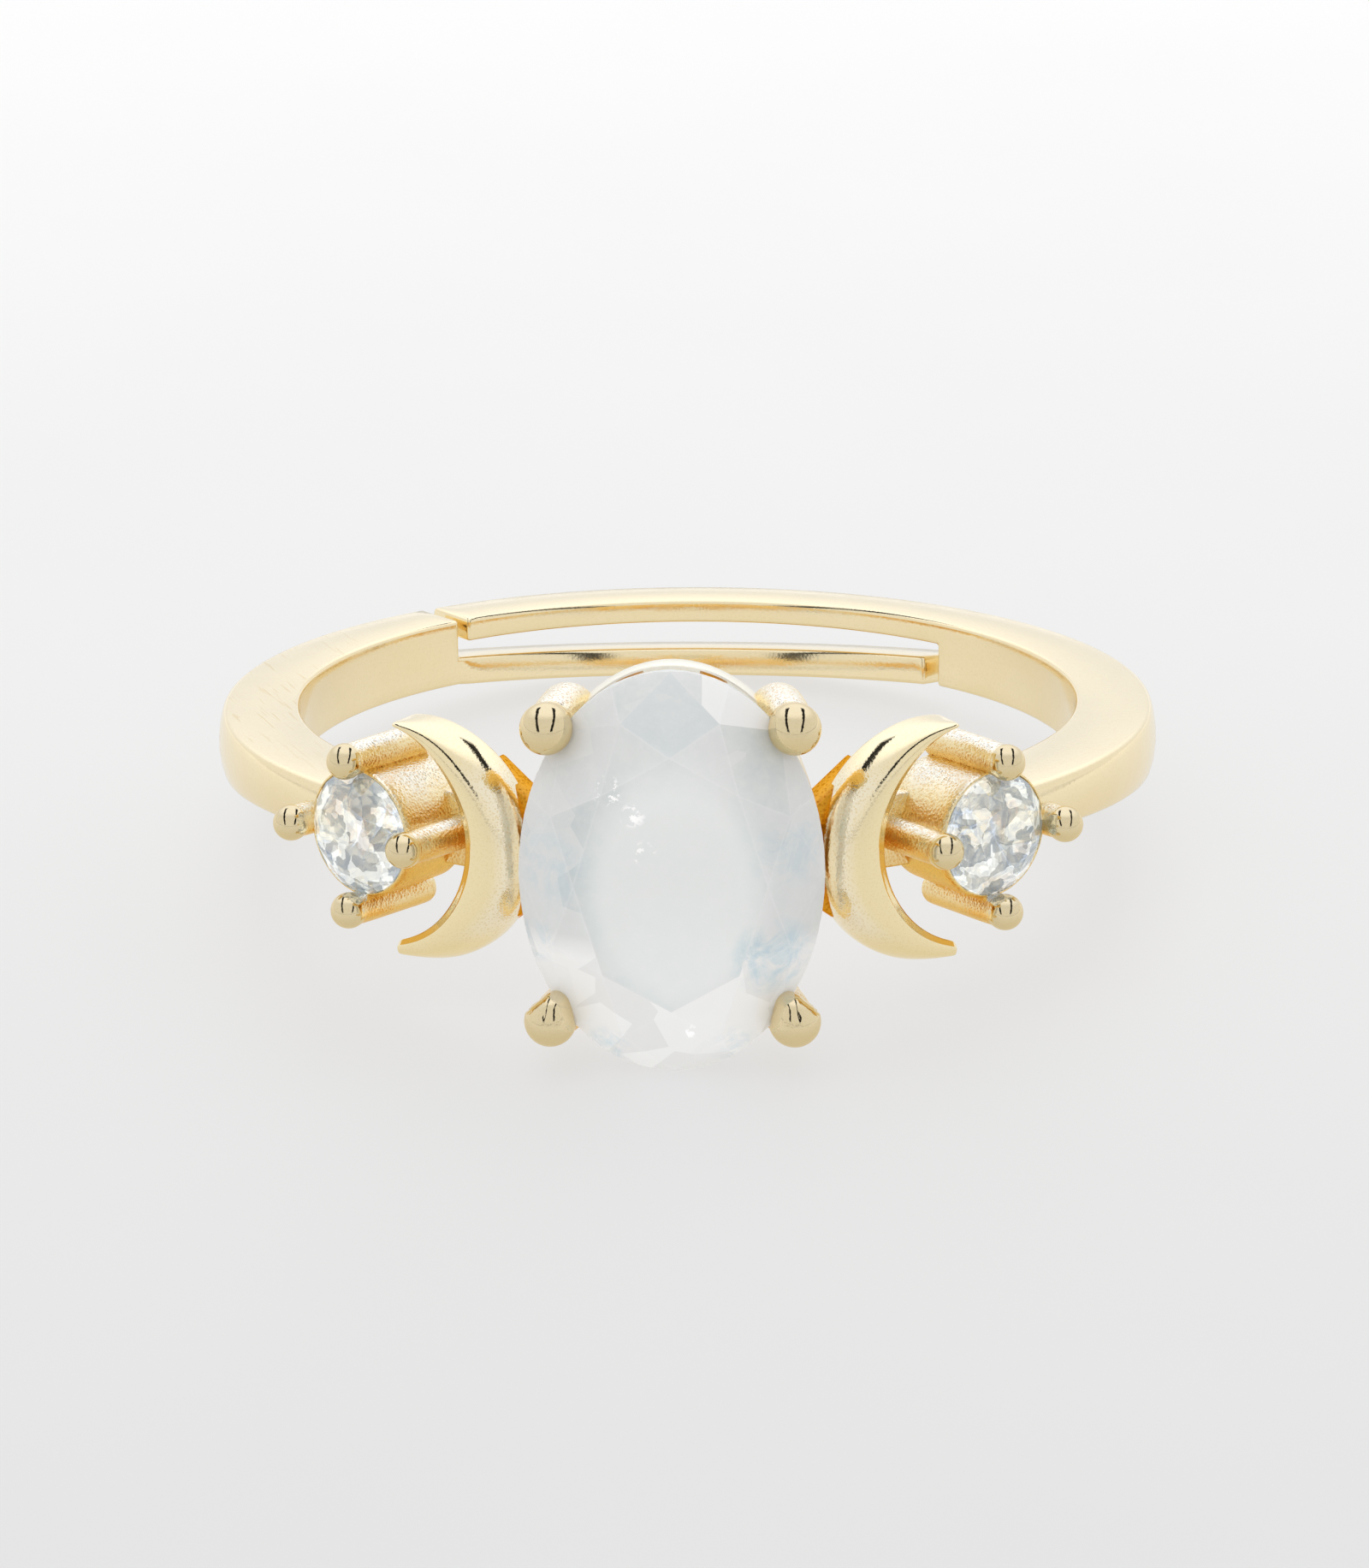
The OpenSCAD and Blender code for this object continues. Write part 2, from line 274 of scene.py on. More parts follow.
def goldSkin(tree, finish):
    # colour, roughness and height in metres of one finish
    tones = {key.title(): (*finish[key], 1) for key in ("face", "shadowed", "toplit")}
    tone = addNode(tree, "ShaderNodeGroup", tones, node_tree=goldToneAndShade).outputs["Color"]
    smoothest, roughest = finish["rough"]
    grain = addNode(tree, "ShaderNodeGroup",
                    {"Grain Size": finish["grainSize"], "Rough Low": smoothest, "Rough High": roughest},
                    node_tree=castGrain).outputs
    place = addNode(tree, "ShaderNodeTexCoord").outputs
    swell = noise(tree, place["Object"], finish["waveSize"], 1.0)
    height = calc(tree, swell, finish["waveDepth"], "MULTIPLY_ADD",
                  calc(tree, grain["Height"], finish["grainDepth"]))
    pit = (*finish["pit"], 1)
    color = blend(tree, calc(tree, grain["Pits"], finish["pitShare"]), tone, pit)
    if "scratched" in finish:
        # a few hairlines from wear on the upper face, at the far left
        swept = addNode(tree, "ShaderNodeMapping",
                        {"Vector": place["Object"], "Rotation": (0, 0, 0.4),
                         "Scale": (0.00008, 0.0013, 0.01)}, vector_type="TEXTURE").outputs["Vector"]
        line = remap(tree, noise(tree, swept, 1.0, 2.0), 0.6, 0.68, 0.0, finish["scratched"])
        left = remap(tree, parts(tree, place["Object"])["X"], -0.007, -0.0084)
        flat = remap(tree, parts(tree, place["Normal"])["Z"], 0.8, 0.95)
        color = blend(tree, calc(tree, line, calc(tree, left, flat)), color, pit)
    return color, grain["Roughness"], height


def goldMaterial(name, finish, castFinish=None):
    material, tree, shader = startMaterial(name)
    shader.inputs["Metallic"].default_value = 1.0
    shader.inputs["Specular Tint"].default_value = (*finish["rim"], 1)
    color, roughness, height = goldSkin(tree, finish)
    if castFinish:
        cast = addNode(tree, "ShaderNodeAttribute", attribute_name="cast")
        share = cast.outputs["Fac"]
        castColor, castRoughness, castHeight = goldSkin(tree, castFinish)
        color = blend(tree, share, color, castColor)
        roughness = addNode(tree, "ShaderNodeMix", {0: share, 2: roughness, 3: castRoughness}).outputs[0]
        height = addNode(tree, "ShaderNodeMix", {0: share, 2: height, 3: castHeight}).outputs[0]
    skin = addNode(tree, "ShaderNodeBump", {"Strength": 1.0, "Distance": 1.0, "Height": height})
    tree.links.new(color, shader.inputs["Base Color"])
    tree.links.new(roughness, shader.inputs["Roughness"])
    tree.links.new(skin.outputs["Normal"], shader.inputs["Normal"])
    return material


# In each finish, the colour for downward faces is painted shade and the one for upward faces is painted
# light
polishFinish = {
    "face": (0.98, 0.84, 0.53), "shadowed": (0.97, 0.8, 0.45), "toplit": (1.0, 0.89, 0.64), "rim": (1, 1, 1),
    "pit": (0.88, 0.7, 0.36), "pitShare": 0.3, "rough": (0.05, 0.1), "grainSize": 20000,
    "grainDepth": 0.0000006, "waveSize": 400, "waveDepth": 0.0000012}
tumbledFinish = {
    "face": (1.0, 0.91, 0.7), "shadowed": (1.0, 0.89, 0.65), "toplit": (1.0, 0.96, 0.84), "rim": (1, 1, 1),
    "pit": (0.85, 0.66, 0.34), "pitShare": 0.65, "rough": (0.06, 0.12), "grainSize": 20000,
    "grainDepth": 0.0000022, "waveSize": 2500, "waveDepth": 0.0000015}
ballFinish = {
    "face": (0.84, 0.71, 0.45), "shadowed": (0.8, 0.65, 0.36), "toplit": (0.77, 0.67, 0.47),
    "rim": (1, 0.95, 0.85), "pit": (0.75, 0.58, 0.3), "pitShare": 0.3, "rough": (0.04, 0.09),
    "grainSize": 20000, "grainDepth": 0.0000006, "waveSize": 500, "waveDepth": 0.000002}
satinFinish = {
    "face": (1.0, 0.85, 0.52), "shadowed": (0.93, 0.59, 0.15), "toplit": (1.0, 1.0, 0.96), "rim": (1, 0.85, 0.55),
    "pit": (0.82, 0.5, 0.14), "pitShare": 0.6, "rough": (0.2, 0.32), "grainSize": 17000,
    "grainDepth": 0.000009, "waveSize": 1500, "waveDepth": 0.000008}
polishedGold = goldMaterial("polishedGold", polishFinish, tumbledFinish)
prongGold = goldMaterial("prongGold", ballFinish, satinFinish)
satinGold = goldMaterial("satinGold", satinFinish)
# the rail is nearly white: a painted highlight along it, with only a trace of gold
railHighlightGold = goldMaterial("railHighlightGold", {
    "face": (1.0, 0.96, 0.86), "shadowed": (1.0, 0.94, 0.8), "toplit": (1.0, 0.98, 0.9), "rim": (1, 1, 1),
    "pit": (0.95, 0.82, 0.56), "pitShare": 0.3, "rough": (0.3, 0.42), "grainSize": 20000,
    "grainDepth": 0.0000015, "waveSize": 900, "waveDepth": 0.000001})
bandGold = goldMaterial("bandGold", {
    "face": (0.98, 0.84, 0.55), "shadowed": (0.92, 0.75, 0.43), "toplit": (0.99, 0.88, 0.64), "rim": (1, 1, 1),
    "pit": (0.86, 0.68, 0.36), "pitShare": 0.2, "scratched": 0.6, "rough": (0.1, 0.17), "grainSize": 16000,
    "grainDepth": 0.0000008, "waveSize": 300, "waveDepth": 0.000002})
# webs and slot floors: deep orange painted shade and gold-on-gold reflection of the recesses
recessShadeGold = goldMaterial("recessShadeGold", {
    "face": (0.82, 0.38, 0.03), "shadowed": (0.76, 0.32, 0.02), "toplit": (0.86, 0.46, 0.08),
    "rim": (1, 0.6, 0.2), "pit": (0.55, 0.2, 0.01), "pitShare": 0.9, "rough": (0.3, 0.42),
    "grainSize": 15000, "grainDepth": 0.000008, "waveSize": 900, "waveDepth": 0.000006})
print("gold finishes ready")

# Shank: two arms that lap at the back, each with its tongue. They are spun in rings, some degrees apart.
shank = {
    "hole": 8.25, "thick": 1.68, "width": 1.5, "dome": 0.12, "thinBack": 0.2, "taper": 4.2,
    "outerFrom": 9, "taperFrom": 9.1, "ringStep": 2, "headEnd": 38.6, "leftEnd": 130.4, "rightEnd": 48.7,
    "rightLevels": [-0.75, -0.4, -0.05, 0.22, 0.5, 0.75], "upperTongueFoot": 0.22, "upperTongueEnd": 128.7,
    "leftLevels": [-0.75, -0.45, -0.12, 0.15, 0.45, 0.75], "lowerTongueTop": -0.12, "lowerTongueEnd": 51.2,
    "droop": 8, "droopAt": (0, 6.3, -0.45), "droopFrom": 40, "edge": 0.09}


def ringSteps(start, end):
    return round(abs(end - start) / shank["ringStep"])


def makeArm(name, rows, start, end):
    # A standing grid for the section, with one row of faces for each level, is spun round the finger axis
    hole, rim = shank["hole"], shank["hole"] + shank["thick"]
    # rows that are done are lifted clear of those still to do
    clear = 100
    domeRadius = (shank["width"] ** 2 / 4 + shank["dome"] ** 2) / (2 * shank["dome"])
    count = len(rows) - 1
    bpy.ops.object.select_all(action="DESELECT")
    bpy.ops.mesh.primitive_grid_add(x_subdivisions=1, y_subdivisions=count, size=2)
    arm = namePiece(name)
    bpy.ops.object.mode_set(mode="EDIT")
    bpy.ops.mesh.select_all(action="SELECT")
    for index, height in enumerate(rows):
        here = -1 + 2 * index / count
        bulge = rim - domeRadius + math.sqrt(domeRadius ** 2 - height ** 2)
        for side, radius in ((-1, hole), (1, bulge)):
            pickVerts(arm, lambda co: abs(co.y - here) < 0.001 and co.z == 0 and co.x * side > 0)
            bpy.ops.transform.translate(value=(radius - side, -here, height + clear))
    bpy.ops.mesh.select_all(action="SELECT")
    bpy.ops.transform.translate(value=(0, 0, -clear))
    bpy.ops.transform.rotate(value=math.radians(-start), orient_axis="Z", center_override=(0, 0, 0))
    bpy.ops.mesh.spin(steps=ringSteps(start, end), angle=math.radians(start - end), center=(0, 0, 0),
                      axis=(0, 0, 1))
    return arm


def spinTongue(arm, end, tip, test):
    # The end face is spun on, over part of its height only
    across = math.radians(end)
    onward = Vector((-math.sin(across), math.cos(across), 0))

    def atEnd(centre, normal):
        turn = math.degrees(math.atan2(centre.y, centre.x)) % 360
        return abs(turn - end) < 0.5 and abs(normal.dot(onward)) > 0.9 and test(centre.z)
    pickFaces(arm, atEnd)
    bpy.ops.mesh.spin(steps=ringSteps(end, tip), angle=math.radians(end - tip), center=(0, 0, 0),
                      axis=(0, 0, 1))


def pickRing(arm, x, y, innermost):
    across = Vector((-y, x))
    pickVerts(arm, lambda co: abs(across.dot(co.xy)) < 0.02 and co.x * x + co.y * y > innermost)


def thinRings(arm, start, end, first=0):
    # Ring by ring, the outer wall comes in towards the back
    steps = ringSteps(start, end)
    for step in range(first, steps + 1):
        turn = math.radians(start + (end - start) * step / steps)
        x, y = math.cos(turn), math.sin(turn)
        pickRing(arm, x, y, shank["outerFrom"])
        bpy.ops.transform.translate(value=(-shank["thinBack"] * y * x, -shank["thinBack"] * y * y, 0))
        if y < 0:
            # and the lower face rises towards the head
            pickRing(arm, x, y, 0)
            rise = -y * shank["taperFrom"] * math.tan(math.radians(shank["taper"]))
            bpy.ops.transform.resize(value=(1, 1, 1 - rise / shank["width"]),
                                     center_override=(0, 0, shank["width"] / 2))


def finishArm(arm):
    bpy.ops.object.mode_set(mode="OBJECT")
    faceOutwards(arm)
    roundEdges(arm, shank["edge"])
    addModifier(arm, "WEIGHTED_NORMAL", keep_sharp=True)
    setOnRing(arm, Matrix.Identity(4), bandGold)


rightStart, leftStart = -90 + shank["headEnd"], 270 - shank["headEnd"]
rightArm = makeArm("band_right_arm", shank["rightLevels"], rightStart, shank["rightEnd"])
spinTongue(rightArm, shank["rightEnd"], shank["upperTongueEnd"], lambda z: z > shank["upperTongueFoot"])
thinRings(rightArm, shank["rightEnd"], shank["upperTongueEnd"], 1)
thinRings(rightArm, rightStart, shank["rightEnd"])
finishArm(rightArm)

leftArm = makeArm("band_left_arm", shank["leftLevels"], leftStart, shank["leftEnd"])
spinTongue(leftArm, shank["leftEnd"], shank["lowerTongueEnd"], lambda z: z < shank["lowerTongueTop"])
thinRings(leftArm, shank["leftEnd"], shank["lowerTongueEnd"], 1)
thinRings(leftArm, leftStart, shank["leftEnd"])
pickVerts(leftArm, lambda co: co.z < shank["lowerTongueTop"] + 0.01 and co.y > 0
          and shank["droopFrom"] < math.degrees(math.atan2(co.y, co.x)) < shank["leftEnd"] - 1)
bpy.ops.transform.rotate(value=math.radians(shank["droop"]), orient_axis="X",
                         center_override=shank["droopAt"])
finishArm(leftArm)
print("shank ready")

# Thin strip under the head, which ties the two arms
headStrip = {"inner": 8.25, "outer": 8.9, "height": 1.5, "reach": 40.6, "steps": 40, "edge": 0.06}


def makeStrip():
    middle = (headStrip["inner"] + headStrip["outer"]) / 2
    bpy.ops.object.select_all(action="DESELECT")
    bpy.ops.mesh.primitive_plane_add(size=1, location=(middle, 0, 0), rotation=(math.radians(90), 0, 0))
    strip = namePiece("head_strip")
    bpy.ops.transform.resize(value=(headStrip["outer"] - headStrip["inner"], 1, headStrip["height"]))
    bpy.ops.object.transform_apply(location=True, rotation=True, scale=True)
    bpy.ops.object.mode_set(mode="EDIT")
    bpy.ops.mesh.select_all(action="SELECT")
    bpy.ops.transform.rotate(value=math.radians(90 + headStrip["reach"]), orient_axis="Z",
                             center_override=(0, 0, 0))
    bpy.ops.mesh.spin(steps=headStrip["steps"], angle=math.radians(-2 * headStrip["reach"]),
                      center=(0, 0, 0), axis=(0, 0, 1))
    bpy.ops.object.mode_set(mode="OBJECT")
    faceOutwards(strip)
    roundEdges(strip, headStrip["edge"], 2)
    setOnRing(strip, Matrix.Identity(4), satinGold)


makeStrip()


def turnRows(name, rows, sides):
    # A small circle is extruded downwards and widened, row by row, as on a lathe
    radius, height = rows[0]
    bpy.ops.object.select_all(action="DESELECT")
    bpy.ops.mesh.primitive_circle_add(vertices=sides, radius=radius, location=(0, 0, 0), fill_type="NGON")
    piece = namePiece(name)
    bpy.ops.object.mode_set(mode="EDIT")
    bpy.ops.mesh.select_all(action="SELECT")
    bpy.ops.transform.translate(value=(0, 0, height))
    for nextRadius, nextHeight in rows[1:]:
        bpy.ops.mesh.extrude_region_move(TRANSFORM_OT_translate={"value": (0, 0, nextHeight - height)})
        bpy.ops.transform.resize(value=(nextRadius / radius, nextRadius / radius, 1),
                                 center_override=(0, 0, nextHeight))
        radius, height = nextRadius, nextHeight
    return piece


def ballRows(radius, centre, last):
    # From the top of a ball down to the angle where the neck begins
    steps = (6, 18, 32, 48, 64, 80, 96, 112, last)
    return [(radius * math.sin(math.radians(a)), centre + radius * math.cos(math.radians(a)))
            for a in steps]


# Side mounts: a cup for each round stone, with four straight prongs. Profiles are radius and height, and
# "cast" says between which heights the polish gives way to cast skin.
sideMount = {
    "angle": 38.2, "seat": 10.1, "offset": 1.53, "foot": -1.85, "cup": 1.32, "rim": 0.04, "cupSides": 48,
    "cupInside": [(0.15, -1.2), (0.55, -0.85), (0.92, -0.45)], "ball": 0.37, "ballAt": 0.38,
    "lastAngle": 116, "neck": 0.33, "shaft": 0.345, "prongSides": 24,
    "notch": {"at": -0.28, "from": -1.0, "to": 0.15}, "cast": (0.31, 0.23)}


def makeSideProng():
    centre, shaft, foot, notch = (sideMount[key] for key in ("ballAt", "shaft", "foot", "notch"))
    rows = ballRows(sideMount["ball"], centre, sideMount["lastAngle"])
    rows += [(sideMount["neck"], centre - 0.22), (shaft, centre - 0.5), (shaft, -0.9), (shaft * 1.02, -1.5),
             (shaft * 1.02, foot + 0.05), (shaft * 0.9, foot)]
    prong = turnRows("side_prong", rows, sideMount["prongSides"])
    # notched under the ball where the edge of the stone sits
    pickVerts(prong, lambda co: notch["from"] < co.z < notch["to"] and co.x < notch["at"])
    bpy.ops.transform.resize(value=(0, 1, 1), center_override=(notch["at"], 0, 0))
    bpy.ops.object.mode_set(mode="OBJECT")
    faceOutwards(prong)
    smoothOver(prong, 1)
    markCast(prong, lambda co: ease(co.z, *sideMount["cast"]))
    return prong


def makeSideCup():
    cup, rim, foot = sideMount["cup"], sideMount["rim"], sideMount["foot"]
    rows = sideMount["cupInside"] + [
        (cup - 0.1, rim - 0.16), (cup - 0.08, rim - 0.02), (cup - 0.05, rim), (cup, rim - 0.06),
        (cup, rim - 0.3), (cup, -1.0), (cup, foot + 0.05), (cup - 0.05, foot)]
    piece = turnRows("side_cup", rows, sideMount["cupSides"])
    bpy.ops.object.mode_set(mode="OBJECT")
    faceOutwards(piece)
    smoothOver(piece, 1)
    return piece


sidePlace = onRing(sideMount["angle"], sideMount["seat"])
sideProng, sideCup = makeSideProng(), makeSideCup()
for label, mirrored in (("right", False), ("left", True)):
    setOnRing(copyOf(sideCup, "side_cup_" + label), sidePlace, satinGold, mirrored)
    for spot, turn in (("outer", 0), ("upper", 90), ("inner", 180), ("lower", 270)):
        place = (sidePlace @ Matrix.Rotation(math.radians(turn), 4, "Z")
                 @ Matrix.Translation((sideMount["offset"], 0, 0)))
        setOnRing(copyOf(sideProng, "side_prong_" + label + "_" + spot), place, prongGold, mirrored)
bpy.data.objects.remove(sideProng)
bpy.data.objects.remove(sideCup)
print("side mounts ready")

# Basket: four bent prongs and the oval gallery rail
basket = {
    "seat": 10.6, "ball": 0.52, "lastAngle": 124, "shaft": 0.47, "neck": 0.42, "sides": 28,
    "cast": (-0.33, -0.42), "ballAt": Vector((2.36, 2.92, 0.25)), "bendAt": Vector((2.02, 3.02, -1.2)),
    "footAt": Vector((0.85, 0.4, -1.95)), "bendRadius": 0.5, "bendSteps": 6,
    "legShares": (0.15, 0.4, 0.45)}
# the lower balls were pushed over the stone: they narrow towards it in three steps
pear = {
    "inwards": (-0.25, -0.97, 0), "from": (0.05, 0.2, 0.33), "above": -0.36, "pull": 0.045, "narrow": 0.13}
rail = {
    "sides": 96, "halfWidth": 2.84, "halfHeight": 3.9, "width": 0.5, "top": -0.8, "depth": 0.5,
    "edge": 0.04, "slots": {"above": 3, "from": 0.45, "to": 0.95, "inset": 0.05, "depth": 0.07}}


def makeMainProng():
    down = basket["bendAt"] - basket["ballAt"]
    along = basket["footAt"] - basket["bendAt"]
    corner = down.angle(along)
    reach = basket["bendRadius"] * math.tan(corner / 2)
    bendTop = -down.length - 0.12 + reach
    rows = ballRows(basket["ball"], 0, basket["lastAngle"])
    rows += [(basket["neck"], -0.36), (basket["shaft"] * 0.96, -0.48), (basket["shaft"], -0.62),
             (basket["shaft"] * 1.03, bendTop)]
    prong = turnRows("prong", rows, basket["sides"])
    # the last ring is spun round the bend, then drawn out to the foot
    bpy.ops.mesh.spin(steps=basket["bendSteps"], angle=corner, center=(basket["bendRadius"], 0, bendTop),
                      axis=(0, 1, 0))
    heading = Vector((math.sin(corner), 0, -math.cos(corner)))
    run = along.length - reach - 0.1
    for share in basket["legShares"]:
        bpy.ops.mesh.extrude_region_move(TRANSFORM_OT_translate={"value": heading * run * share})
    bpy.ops.object.mode_set(mode="OBJECT")
    faceOutwards(prong)
    smoothOver(prong, 1)
    markCast(prong, lambda co: ease(co.z, *basket["cast"]))
    up = -down.normalized()
    across = (along - along.dot(up) * up).normalized()
    frameAxes = Matrix((across, up.cross(across), up)).transposed().to_4x4()
    return prong, Matrix.Translation(basket["ballAt"]) @ frameAxes


def pearBall(prong, pull):
    selectOnly(prong)
    bpy.ops.object.mode_set(mode="EDIT")
    for start in pear["from"]:
        pickVerts(prong, lambda co: co.z > pear["above"] and co.x * pull.x + co.y * pull.y > start)
        bpy.ops.transform.translate(value=(pull.x * pear["pull"], pull.y * pear["pull"], 0))
        narrow = (1 - pear["narrow"] * abs(pull.y), 1 - pear["narrow"] * abs(pull.x), 1)
        bpy.ops.transform.resize(value=narrow, center_override=(0, 0, 0))
    bpy.ops.object.mode_set(mode="OBJECT")


mainProng, prongPlace = makeMainProng()
headPlace = onRing(0, basket["seat"])
for label, mirrored, flip in (("upper_right", False, 1), ("upper_left", True, 1),
                              ("lower_right", False, -1), ("lower_left", True, -1)):
    prong = copyOf(mainProng, "prong_" + label)
    if flip < 0:
        inwards = prongPlace.to_3x3().inverted() @ Vector(pear["inwards"])
        pearBall(prong, inwards.normalized())
    turned = headPlace @ Matrix.Scale(flip, 4, (0, 1, 0)) @ prongPlace
    setOnRing(prong, turned, prongGold, mirrored)
bpy.data.objects.remove(mainProng)


def makeRail():
    width, half, inner, slots = (rail[key] for key in ("halfWidth", "halfHeight", "width", "slots"))
    bpy.ops.object.select_all(action="DESELECT")
    bpy.ops.mesh.primitive_circle_add(vertices=rail["sides"], radius=1, location=(0, 0, 0),
                                      fill_type="NOTHING")
    piece = namePiece("gallery_rail")
    bpy.ops.object.mode_set(mode="EDIT")
    bpy.ops.mesh.select_all(action="SELECT")
    bpy.ops.transform.resize(value=(width, half, 1), center_override=(0, 0, 0))
    bpy.ops.transform.translate(value=(0, 0, rail["top"] - rail["depth"]))
    bpy.ops.mesh.extrude_edges_move()
    bpy.ops.transform.resize(value=((width - inner) / width, (half - inner) / half, 1),
                             center_override=(0, 0, 0))
    bpy.ops.mesh.select_all(action="SELECT")
    bpy.ops.mesh.extrude_region_move(TRANSFORM_OT_translate={"value": (0, 0, rail["depth"])})
    bpy.ops.object.mode_set(mode="OBJECT")
    faceOutwards(piece)
    roundEdges(piece, rail["edge"], 2)
    # two slots at the upper end, beside the edge of the stone, deeper in colour: painted shade
    bpy.ops.object.mode_set(mode="EDIT")
    pickFaces(piece, lambda centre, normal: normal.z > 0.99 and centre.y > slots["above"]
              and slots["from"] < abs(centre.x) < slots["to"])
    bpy.ops.mesh.inset(thickness=slots["inset"], depth=-slots["depth"])
    bpy.ops.object.mode_set(mode="OBJECT")
    for face in piece.data.polygons:
        face.material_index = int(face.select)
    setOnRing(piece, headPlace, railHighlightGold)
    piece.data.materials.append(recessShadeGold)


makeRail()
print("basket ready")

# Crescents and the webs that carry them
crescent = {
    "angle": 27, "seat": 9.95, "drop": -0.15, "stations": 32,
    "hollow": {"x": 1.88, "y": 0.15, "radius": 2.28, "half": 73.7},
    "disc": {"x": 0.85, "y": 0, "radius": 2.45, "half": 99.2},
    "tip": {"above": 1.9, "right": 1.2, "out": (0.06, 0.01), "shrink": (0.7, 0.7, 0.85),
            "at": (1.3, 2.35, -0.4)},
    "bend": {"above": 2.3, "right": 1.1, "back": 0.12, "reach": 1.8},
    "polish": {"rim": (0.6, 0.25), "tips": (2.0, 1.3)}}
# share of the way from the hollow to the outer edge, and height of the face there
crescentRows = [(0.14, -1.0), (0.08, -0.5), (0, -0.17), (0.006, -0.145), (0.02, -0.125), (0.12, -0.065),
                (0.14, -0.045), (0.16, -0.035), (0.3, -0.035), (0.44, -0.055), (0.55, -0.085),
                (0.66, -0.14), (0.76, -0.22), (0.85, -0.32), (0.92, -0.42), (0.97, -0.52),
                (1, -0.66), (1, -0.85), (1, -1.0)]


def crescentArc(share):
    hollow, disc = crescent["hollow"], crescent["disc"]
    return [hollow[key] + (disc[key] - hollow[key]) * share for key in ("x", "y", "radius", "half")]


def makeCrescent():
    bpy.ops.object.select_all(action="DESELECT")
    bpy.ops.mesh.primitive_plane_add(size=0.1, location=(0, 0, 0))
    moon = namePiece("crescent")
    bpy.ops.object.mode_set(mode="EDIT")
    bpy.ops.mesh.select_mode(type="VERT")
    bpy.ops.mesh.select_all(action="SELECT")
    bpy.ops.mesh.delete(type="VERT")
    # one arc for each row, from the upper tip to the lower one
    for share, height in crescentRows:
        x, y, radius, half = crescentArc(share)
        half = math.radians(half)
        start = (x - radius * math.cos(half), y + radius * math.sin(half), height)
        bpy.ops.mesh.primitive_plane_add(size=0.1, location=start)
        bpy.ops.mesh.merge(type="CENTER")
        bpy.ops.mesh.spin(steps=crescent["stations"], angle=-2 * half, center=(x, y, height),
                          axis=(0, 0, 1))

    def onRow(co, row):
        share, height = crescentRows[row]
        x, y, radius, half = crescentArc(share)
        return abs(math.hypot(co.x - x, co.y - y) - radius) < 1e-4 and abs(co.z - height) < 1e-4

    for row in range(len(crescentRows)):
        following = (row + 1) % len(crescentRows)
        pickVerts(moon, lambda co: onRow(co, row) or onRow(co, following))
        bpy.ops.mesh.bridge_edge_loops()
    bpy.ops.mesh.select_all(action="DESELECT")
    bpy.ops.mesh.select_non_manifold()
    bpy.ops.mesh.edge_face_add()
    # each tip is drawn out a little and rounded off
    tip, bend, polish = crescent["tip"], crescent["bend"], crescent["polish"]
    for end in (1, -1):
        pickFaces(moon, lambda centre, normal: centre.y * end > tip["above"] and centre.x > tip["right"]
                  and abs(normal.z) < 0.3 and abs(centre.z + 0.5) < 0.25)
        out, up = tip["out"]
        bpy.ops.mesh.extrude_region_move(TRANSFORM_OT_translate={"value": (out, up * end, 0)})
        x, y, z = tip["at"]
        bpy.ops.transform.resize(value=tip["shrink"], center_override=(x, y * end, z))
    # the whole moon bends back a little towards the two tips
    for end in (1, -1):
        pickVerts(moon, lambda co: co.y * end > bend["above"] and co.x > bend["right"])
        bpy.ops.transform.translate(value=(0, 0, -bend["back"]), use_proportional_edit=True,
                                    proportional_edit_falloff="SMOOTH", proportional_size=bend["reach"])
    bpy.ops.object.mode_set(mode="OBJECT")
    faceOutwards(moon)
    smoothOver(moon, 2)
    # the rolled outer edge keeps its tumbled skin, except near the tips
    disc, rim = crescent["disc"], [crescent["disc"]["radius"] - inwards for inwards in polish["rim"]]
    markCast(moon, lambda co: ease(math.hypot(co.x - disc["x"], co.y), *rim)
             * ease(abs(co.y), *polish["tips"]))
    return moon


web = {"near": (-2.3, 0.5), "far": (-0.6, 1.8), "face": -0.7, "back": -1.35, "edge": 0.08}


def makeWeb():
    bpy.ops.object.select_all(action="DESELECT")
    bpy.ops.mesh.primitive_plane_add(size=2, location=(0, 0, 0))
    piece = namePiece("web")
    bpy.ops.object.mode_set(mode="EDIT")
    for side, (x, y) in ((-1, web["near"]), (1, web["far"])):
        pickVerts(piece, lambda co: abs(co.x - side) < 0.01 and abs(abs(co.y) - 1) < 0.01)
        bpy.ops.transform.resize(value=(1, y, 1), center_override=(0, 0, 0))
        bpy.ops.transform.translate(value=(x - side, 0, 0))
    bpy.ops.mesh.select_all(action="SELECT")
    bpy.ops.transform.translate(value=(0, 0, web["back"]))
    thick = web["face"] - web["back"]
    bpy.ops.mesh.extrude_region_move(TRANSFORM_OT_translate={"value": (0, 0, thick)})
    bpy.ops.object.mode_set(mode="OBJECT")
    faceOutwards(piece)
    roundEdges(piece, web["edge"])
    return piece


moonPlace = onRing(crescent["angle"], crescent["seat"]) @ Matrix.Translation((0, crescent["drop"], 0))
moon, carrier = makeCrescent(), makeWeb()
for label, mirrored in (("right", False), ("left", True)):
    setOnRing(copyOf(moon, "crescent_" + label), moonPlace, polishedGold, mirrored)
    setOnRing(copyOf(carrier, "web_" + label), moonPlace, recessShadeGold, mirrored)
bpy.data.objects.remove(moon)
bpy.data.objects.remove(carrier)
print("crescents ready")


# Stones
def maskNear(tree, vector, spot, radius, soft):
    # 1 inside a radius round a spot, fading to 0
    away = vectorCalc(tree, vector, spot, "DISTANCE")["Value"]
    return remap(tree, away, radius, radius + soft, 1.0, 0.0, True)


